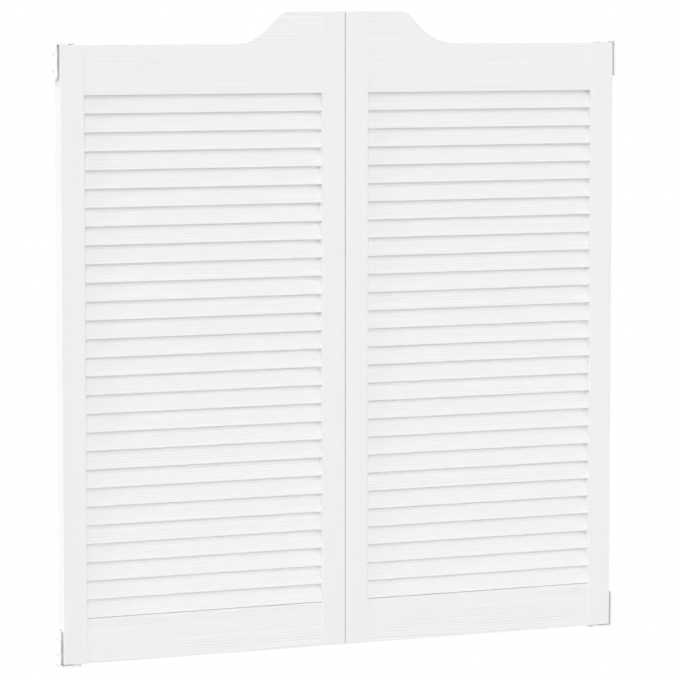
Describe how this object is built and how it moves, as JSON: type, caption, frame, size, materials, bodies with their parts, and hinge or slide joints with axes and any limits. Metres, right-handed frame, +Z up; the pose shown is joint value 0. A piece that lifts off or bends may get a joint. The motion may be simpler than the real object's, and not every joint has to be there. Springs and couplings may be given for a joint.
{
  "type": "louvred swinging doors",
  "caption": "Pair of white louvred cafe doors with a raised scroll-cut middle, hung on spring pivots that let both leaves swing either way and return.",
  "frame": {"origin": "middle of the doorway, in the middle of the leaves' thickness, level with the underside of the bottom brackets, 3.8 mm under the leaves", "axes": "+X across the doorway towards the right leaf, the front faces -Y, +Z up"},
  "size_m": [0.862, 0.022, 0.9038],
  "materials": {
    "painted_pine_stile": "white paint on pine, satin",
    "painted_pine_rail": "white paint on pine, satin",
    "painted_pine_slat": "white paint on pine, satin",
    "beech_dowel": "raw",
    "powder_coated_steel": "white powder coat",
    "zinc_plated_steel": "bright zinc plate",
    "zinc_plated_screw": "bright zinc plate",
    "bright_steel": "turned",
    "spring_steel": "oiled",
    "white_nylon": "moulded"
  },
  "bodies": {
    "jamb_hardware": {"left_bottom_bracket": "powder_coated_steel", "left_spindle": "bright_steel", "left_thrust_washer": "white_nylon", "left_top_bracket": "powder_coated_steel", "left_top_pin": "bright_steel", "right_bottom_bracket": "powder_coated_steel", "right_spindle": "bright_steel", "right_thrust_washer": "white_nylon", "right_top_bracket": "powder_coated_steel", "right_top_pin": "bright_steel"},
    "left_leaf": {"left_bottom_rail": "painted_pine_rail", "left_dowels": "beech_dowel", "left_meeting_stile": "painted_pine_stile", "left_outer_stile": "painted_pine_stile", "left_slats_1": "painted_pine_slat", "left_slats_2": "painted_pine_slat", "left_slats_3": "painted_pine_slat", "left_slats_4": "painted_pine_slat", "left_slats_5": "painted_pine_slat", "left_slats_6": "painted_pine_slat", "left_slats_7": "painted_pine_slat", "left_spring_guide_bush": "white_nylon", "left_spring_shoe": "zinc_plated_steel", "left_spring_shoe_screws": "zinc_plated_screw", "left_top_bush": "white_nylon", "left_top_rail": "painted_pine_rail", "left_top_socket_plate": "zinc_plated_steel", "left_top_socket_screws": "zinc_plated_screw", "left_torsion_spring": "spring_steel"},
    "right_leaf": {"right_bottom_rail": "painted_pine_rail", "right_dowels": "beech_dowel", "right_meeting_stile": "painted_pine_stile", "right_outer_stile": "painted_pine_stile", "right_slats_1": "painted_pine_slat", "right_slats_2": "painted_pine_slat", "right_slats_3": "painted_pine_slat", "right_slats_4": "painted_pine_slat", "right_slats_5": "painted_pine_slat", "right_slats_6": "painted_pine_slat", "right_slats_7": "painted_pine_slat", "right_spring_guide_bush": "white_nylon", "right_spring_shoe": "zinc_plated_steel", "right_spring_shoe_screws": "zinc_plated_screw", "right_top_bush": "white_nylon", "right_top_rail": "painted_pine_rail", "right_top_socket_plate": "zinc_plated_steel", "right_top_socket_screws": "zinc_plated_screw", "right_torsion_spring": "spring_steel"}
  },
  "joints": [
    {"name": "left_leaf_swing", "type": "hinge", "parent": "jamb_hardware", "child": "left_leaf", "pos_m": [-0.405, 0, 0.0038], "axis": [0, 0, 1], "range_deg": [-90, 90], "stiffness_Nm_per_rad": 1.5},
    {"name": "right_leaf_swing", "type": "hinge", "parent": "jamb_hardware", "child": "right_leaf", "pos_m": [0.405, 0, 0.0038], "axis": [0, 0, 1], "range_deg": [-90, 90], "stiffness_Nm_per_rad": 1.5}
  ]
}
